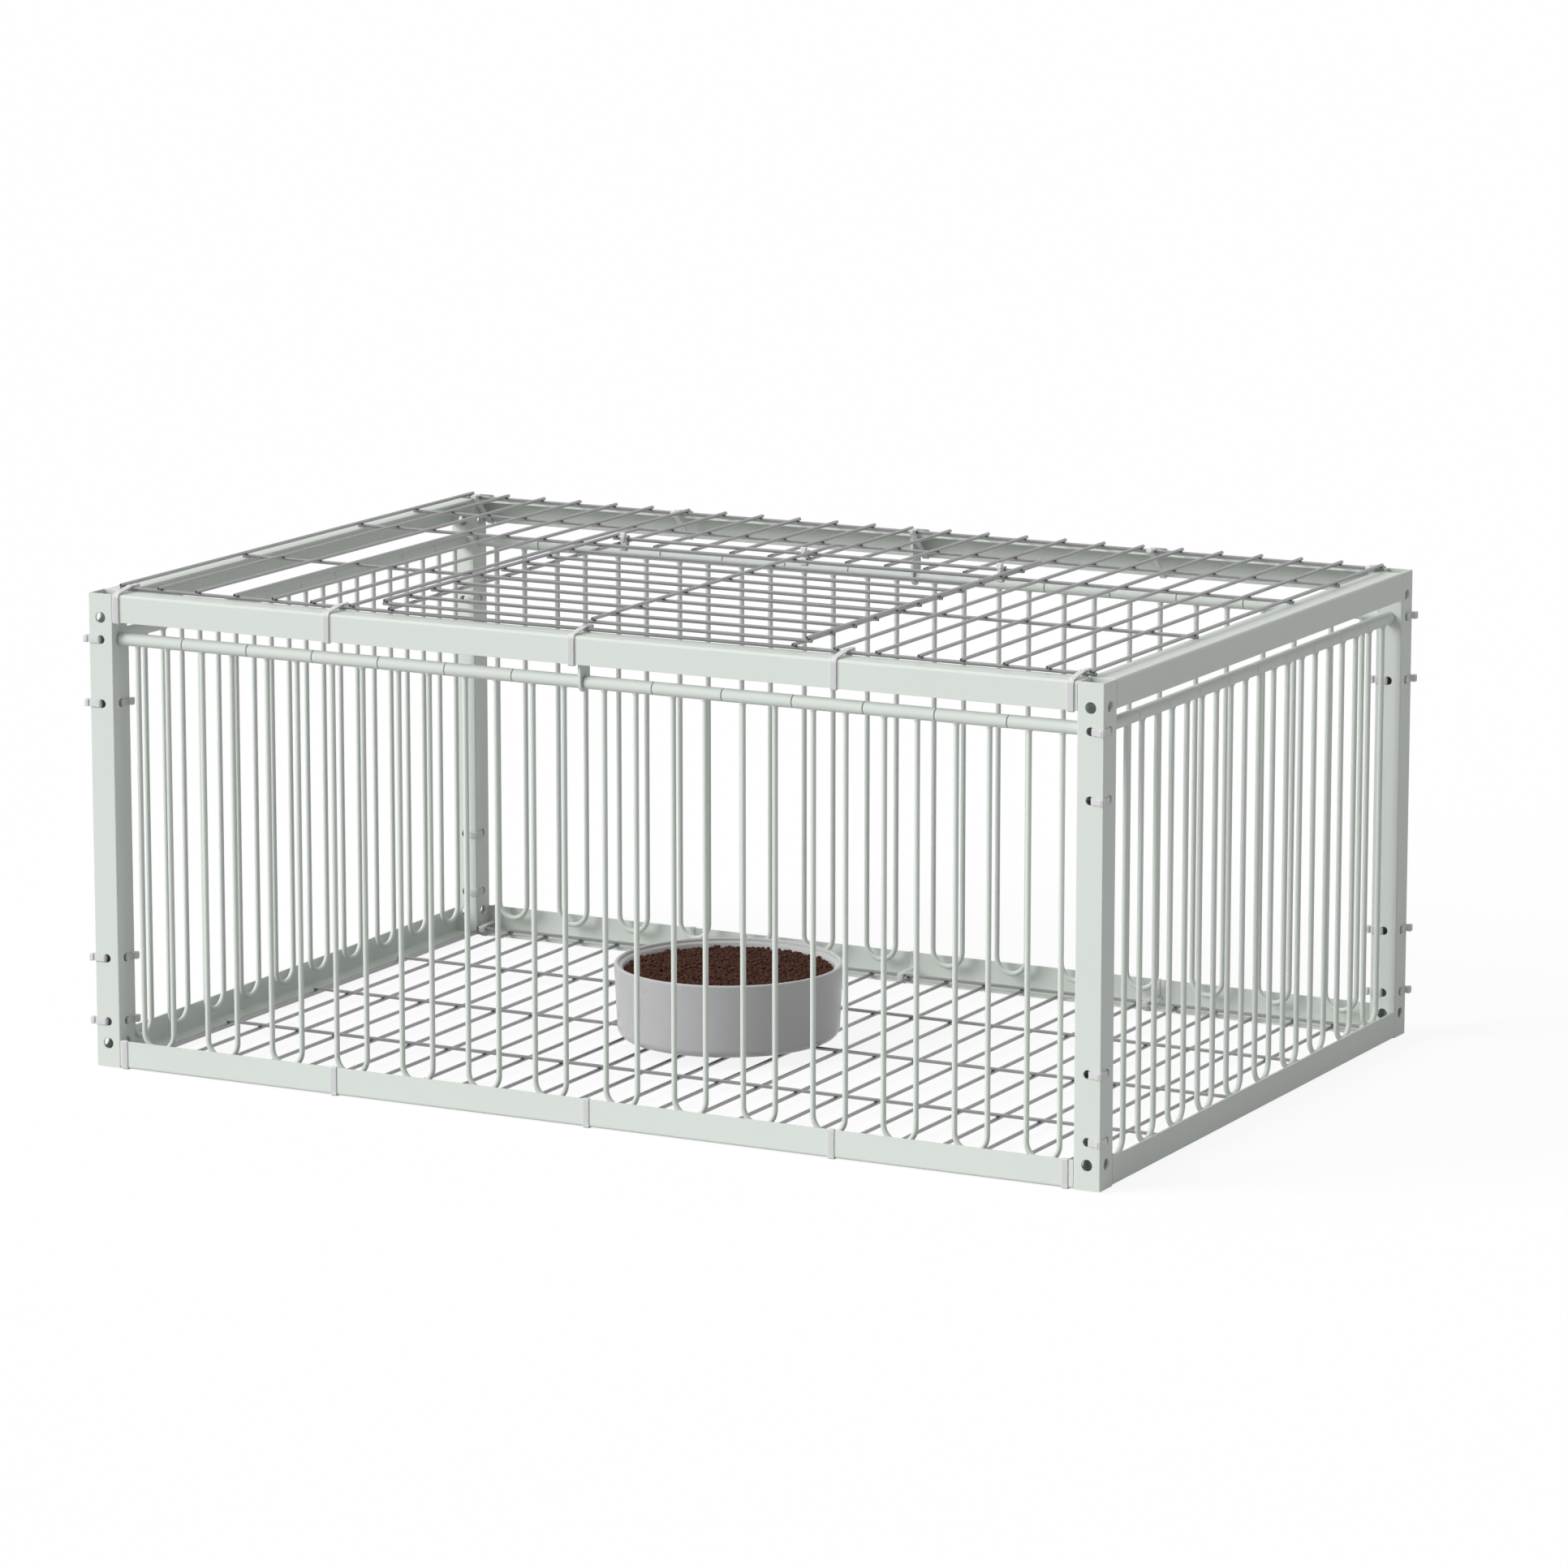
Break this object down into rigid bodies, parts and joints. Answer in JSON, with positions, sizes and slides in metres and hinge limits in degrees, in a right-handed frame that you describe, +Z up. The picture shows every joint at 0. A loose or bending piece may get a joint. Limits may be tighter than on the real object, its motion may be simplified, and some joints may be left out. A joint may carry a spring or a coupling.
{
  "type": "pigeon trap",
  "caption": "Low rectangular live bird trap: tube frame with swinging U-shaped bobs along every side, wire grid floor and top with a lift-up hatch door, and a round bait bowl.",
  "frame": {"origin": "middle of the footprint, on the surface that the trap stands on", "axes": "+X along the long side, to the right as seen from the front; +Y from the front side to the rear; +Z up"},
  "size_m": [0.6, 0.4, 0.2721],
  "materials": {
    "coated_steel": "pale grey-green powder coat, semi-gloss",
    "galvanised_wire": "galvanised, dull",
    "clear_nylon": "natural nylon, slightly translucent",
    "bowl_plastic": "smooth light grey plastic"
  },
  "bodies": {
    "frame": {"post_front_left": "coated_steel", "post_front_right": "coated_steel", "post_rear_left": "coated_steel", "post_rear_right": "coated_steel", "rail_top_front": "coated_steel", "rail_top_right": "coated_steel", "rail_top_rear": "coated_steel", "rail_top_left": "coated_steel", "rail_bottom_front": "coated_steel", "rail_bottom_right": "coated_steel", "rail_bottom_rear": "coated_steel", "rail_bottom_left": "coated_steel", "rod_front": "coated_steel", "rod_right": "coated_steel", "rod_rear": "coated_steel", "rod_left": "coated_steel", "top_grid": "galvanised_wire", "floor_grid": "galvanised_wire", "door_tie_left": "clear_nylon", "door_tie_middle": "clear_nylon", "door_tie_right": "clear_nylon"},
    "bob_front_01": {"bob_front_01": "coated_steel"},
    "bob_front_02": {"bob_front_02": "coated_steel"},
    "bob_front_03": {"bob_front_03": "coated_steel"},
    "bob_front_04": {"bob_front_04": "coated_steel"},
    "bob_front_05": {"bob_front_05": "coated_steel"},
    "bob_front_06": {"bob_front_06": "coated_steel"},
    "bob_front_07": {"bob_front_07": "coated_steel"},
    "bob_front_08": {"bob_front_08": "coated_steel"},
    "bob_front_09": {"bob_front_09": "coated_steel"},
    "bob_front_10": {"bob_front_10": "coated_steel"},
    "bob_front_11": {"bob_front_11": "coated_steel"},
    "bob_front_12": {"bob_front_12": "coated_steel"},
    "bob_front_13": {"bob_front_13": "coated_steel"},
    "bob_front_14": {"bob_front_14": "coated_steel"},
    "bob_right_01": {"bob_right_01": "coated_steel"},
    "bob_right_02": {"bob_right_02": "coated_steel"},
    "bob_right_03": {"bob_right_03": "coated_steel"},
    "bob_right_04": {"bob_right_04": "coated_steel"},
    "bob_right_05": {"bob_right_05": "coated_steel"},
    "bob_right_06": {"bob_right_06": "coated_steel"},
    "bob_right_07": {"bob_right_07": "coated_steel"},
    "bob_right_08": {"bob_right_08": "coated_steel"},
    "bob_right_09": {"bob_right_09": "coated_steel"},
    "bob_right_10": {"bob_right_10": "coated_steel"},
    "bob_pair_rear_01": {"bob_pair_rear_01": "coated_steel"},
    "bob_pair_rear_02": {"bob_pair_rear_02": "coated_steel"},
    "bob_pair_rear_03": {"bob_pair_rear_03": "coated_steel"},
    "bob_rear_04": {"bob_rear_04": "coated_steel"},
    "bob_rear_05": {"bob_rear_05": "coated_steel"},
    "bob_pair_rear_06": {"bob_pair_rear_06": "coated_steel"},
    "bob_pair_rear_07": {"bob_pair_rear_07": "coated_steel"},
    "bob_pair_rear_08": {"bob_pair_rear_08": "coated_steel"},
    "bob_pair_left_01": {"bob_pair_left_01": "coated_steel"},
    "bob_pair_left_02": {"bob_pair_left_02": "coated_steel"},
    "bob_pair_left_03": {"bob_pair_left_03": "coated_steel"},
    "bob_pair_left_04": {"bob_pair_left_04": "coated_steel"},
    "bob_pair_left_05": {"bob_pair_left_05": "coated_steel"},
    "door": {"top_door": "galvanised_wire"},
    "bowl": {"bait_bowl": "bowl_plastic"}
  },
  "joints": [
    {"name": "swing_front_01", "type": "hinge", "parent": "frame", "child": "bob_front_01", "pos_m": [-0.26448, -0.1925, 0.235], "axis": [1, 0, 0], "range_deg": [-1, 90]},
    {"name": "swing_front_02", "type": "hinge", "parent": "frame", "child": "bob_front_02", "pos_m": [-0.22395, -0.1925, 0.235], "axis": [1, 0, 0], "range_deg": [-1, 90]},
    {"name": "swing_front_03", "type": "hinge", "parent": "frame", "child": "bob_front_03", "pos_m": [-0.18341, -0.1925, 0.235], "axis": [1, 0, 0], "range_deg": [-1, 90]},
    {"name": "swing_front_04", "type": "hinge", "parent": "frame", "child": "bob_front_04", "pos_m": [-0.14288, -0.1925, 0.235], "axis": [1, 0, 0], "range_deg": [-1, 90]},
    {"name": "swing_front_05", "type": "hinge", "parent": "frame", "child": "bob_front_05", "pos_m": [-0.10234, -0.1925, 0.235], "axis": [1, 0, 0], "range_deg": [-1, 90]},
    {"name": "swing_front_06", "type": "hinge", "parent": "frame", "child": "bob_front_06", "pos_m": [-0.0618, -0.1925, 0.235], "axis": [1, 0, 0], "range_deg": [-1, 90]},
    {"name": "swing_front_07", "type": "hinge", "parent": "frame", "child": "bob_front_07", "pos_m": [-0.02127, -0.1925, 0.235], "axis": [1, 0, 0], "range_deg": [-1, 90]},
    {"name": "swing_front_08", "type": "hinge", "parent": "frame", "child": "bob_front_08", "pos_m": [0.02127, -0.1925, 0.235], "axis": [1, 0, 0], "range_deg": [-1, 90]},
    {"name": "swing_front_09", "type": "hinge", "parent": "frame", "child": "bob_front_09", "pos_m": [0.0618, -0.1925, 0.235], "axis": [1, 0, 0], "range_deg": [-1, 90]},
    {"name": "swing_front_10", "type": "hinge", "parent": "frame", "child": "bob_front_10", "pos_m": [0.10234, -0.1925, 0.235], "axis": [1, 0, 0], "range_deg": [-1, 90]},
    {"name": "swing_front_11", "type": "hinge", "parent": "frame", "child": "bob_front_11", "pos_m": [0.14288, -0.1925, 0.235], "axis": [1, 0, 0], "range_deg": [-1, 90]},
    {"name": "swing_front_12", "type": "hinge", "parent": "frame", "child": "bob_front_12", "pos_m": [0.18341, -0.1925, 0.235], "axis": [1, 0, 0], "range_deg": [-1, 90]},
    {"name": "swing_front_13", "type": "hinge", "parent": "frame", "child": "bob_front_13", "pos_m": [0.22395, -0.1925, 0.235], "axis": [1, 0, 0], "range_deg": [-1, 90]},
    {"name": "swing_front_14", "type": "hinge", "parent": "frame", "child": "bob_front_14", "pos_m": [0.26448, -0.1925, 0.235], "axis": [1, 0, 0], "range_deg": [-1, 90]},
    {"name": "swing_right_01", "type": "hinge", "parent": "frame", "child": "bob_right_01", "pos_m": [0.2925, -0.16628, 0.235], "axis": [0, -1, 0], "range_deg": [-90, 1]},
    {"name": "swing_right_02", "type": "hinge", "parent": "frame", "child": "bob_right_02", "pos_m": [0.2925, -0.12932, 0.235], "axis": [0, -1, 0], "range_deg": [-90, 1]},
    {"name": "swing_right_03", "type": "hinge", "parent": "frame", "child": "bob_right_03", "pos_m": [0.2925, -0.09237, 0.235], "axis": [0, -1, 0], "range_deg": [-90, 1]},
    {"name": "swing_right_04", "type": "hinge", "parent": "frame", "child": "bob_right_04", "pos_m": [0.2925, -0.05543, 0.235], "axis": [0, -1, 0], "range_deg": [-90, 1]},
    {"name": "swing_right_05", "type": "hinge", "parent": "frame", "child": "bob_right_05", "pos_m": [0.2925, -0.01847, 0.235], "axis": [0, -1, 0], "range_deg": [-90, 1]},
    {"name": "swing_right_06", "type": "hinge", "parent": "frame", "child": "bob_right_06", "pos_m": [0.2925, 0.01847, 0.235], "axis": [0, -1, 0], "range_deg": [-90, 1]},
    {"name": "swing_right_07", "type": "hinge", "parent": "frame", "child": "bob_right_07", "pos_m": [0.2925, 0.05543, 0.235], "axis": [0, -1, 0], "range_deg": [-90, 1]},
    {"name": "swing_right_08", "type": "hinge", "parent": "frame", "child": "bob_right_08", "pos_m": [0.2925, 0.09237, 0.235], "axis": [0, -1, 0], "range_deg": [-90, 1]},
    {"name": "swing_right_09", "type": "hinge", "parent": "frame", "child": "bob_right_09", "pos_m": [0.2925, 0.12932, 0.235], "axis": [0, -1, 0], "range_deg": [-90, 1]},
    {"name": "swing_right_10", "type": "hinge", "parent": "frame", "child": "bob_right_10", "pos_m": [0.2925, 0.16628, 0.235], "axis": [0, -1, 0], "range_deg": [-90, 1]},
    {"name": "swing_pair_rear_01", "type": "hinge", "parent": "frame", "child": "bob_pair_rear_01", "pos_m": [0.24421, 0.1925, 0.235], "axis": [-1, 0, 0], "range_deg": [-1, 85]},
    {"name": "swing_pair_rear_02", "type": "hinge", "parent": "frame", "child": "bob_pair_rear_02", "pos_m": [0.16314, 0.1925, 0.235], "axis": [-1, 0, 0], "range_deg": [-1, 85]},
    {"name": "swing_pair_rear_03", "type": "hinge", "parent": "frame", "child": "bob_pair_rear_03", "pos_m": [0.08207, 0.1925, 0.235], "axis": [-1, 0, 0], "range_deg": [-1, 85]},
    {"name": "swing_rear_04", "type": "hinge", "parent": "frame", "child": "bob_rear_04", "pos_m": [0.02127, 0.1925, 0.235], "axis": [-1, 0, 0], "range_deg": [-1, 85]},
    {"name": "swing_rear_05", "type": "hinge", "parent": "frame", "child": "bob_rear_05", "pos_m": [-0.02127, 0.1925, 0.235], "axis": [-1, 0, 0], "range_deg": [-1, 85]},
    {"name": "swing_pair_rear_06", "type": "hinge", "parent": "frame", "child": "bob_pair_rear_06", "pos_m": [-0.08207, 0.1925, 0.235], "axis": [-1, 0, 0], "range_deg": [-1, 85]},
    {"name": "swing_pair_rear_07", "type": "hinge", "parent": "frame", "child": "bob_pair_rear_07", "pos_m": [-0.16314, 0.1925, 0.235], "axis": [-1, 0, 0], "range_deg": [-1, 85]},
    {"name": "swing_pair_rear_08", "type": "hinge", "parent": "frame", "child": "bob_pair_rear_08", "pos_m": [-0.24421, 0.1925, 0.235], "axis": [-1, 0, 0], "range_deg": [-1, 85]},
    {"name": "swing_pair_left_01", "type": "hinge", "parent": "frame", "child": "bob_pair_left_01", "pos_m": [-0.2925, 0.1478, 0.235], "axis": [0, 1, 0], "range_deg": [-90, 1]},
    {"name": "swing_pair_left_02", "type": "hinge", "parent": "frame", "child": "bob_pair_left_02", "pos_m": [-0.2925, 0.0739, 0.235], "axis": [0, 1, 0], "range_deg": [-90, 1]},
    {"name": "swing_pair_left_03", "type": "hinge", "parent": "frame", "child": "bob_pair_left_03", "pos_m": [-0.2925, 0, 0.235], "axis": [0, 1, 0], "range_deg": [-90, 1]},
    {"name": "swing_pair_left_04", "type": "hinge", "parent": "frame", "child": "bob_pair_left_04", "pos_m": [-0.2925, -0.0739, 0.235], "axis": [0, 1, 0], "range_deg": [-90, 1]},
    {"name": "swing_pair_left_05", "type": "hinge", "parent": "frame", "child": "bob_pair_left_05", "pos_m": [-0.2925, -0.1478, 0.235], "axis": [0, 1, 0], "range_deg": [-90, 1]},
    {"name": "door_hinge", "type": "hinge", "parent": "frame", "child": "door", "pos_m": [0, 0.06373, 0.2656], "axis": [-1, 0, 0], "range_deg": [0, 100]},
    {"name": "bowl_lift", "type": "slide", "parent": "frame", "child": "bowl", "axis": [0, 0, 1], "range_m": [0, 0.15]}
  ]
}
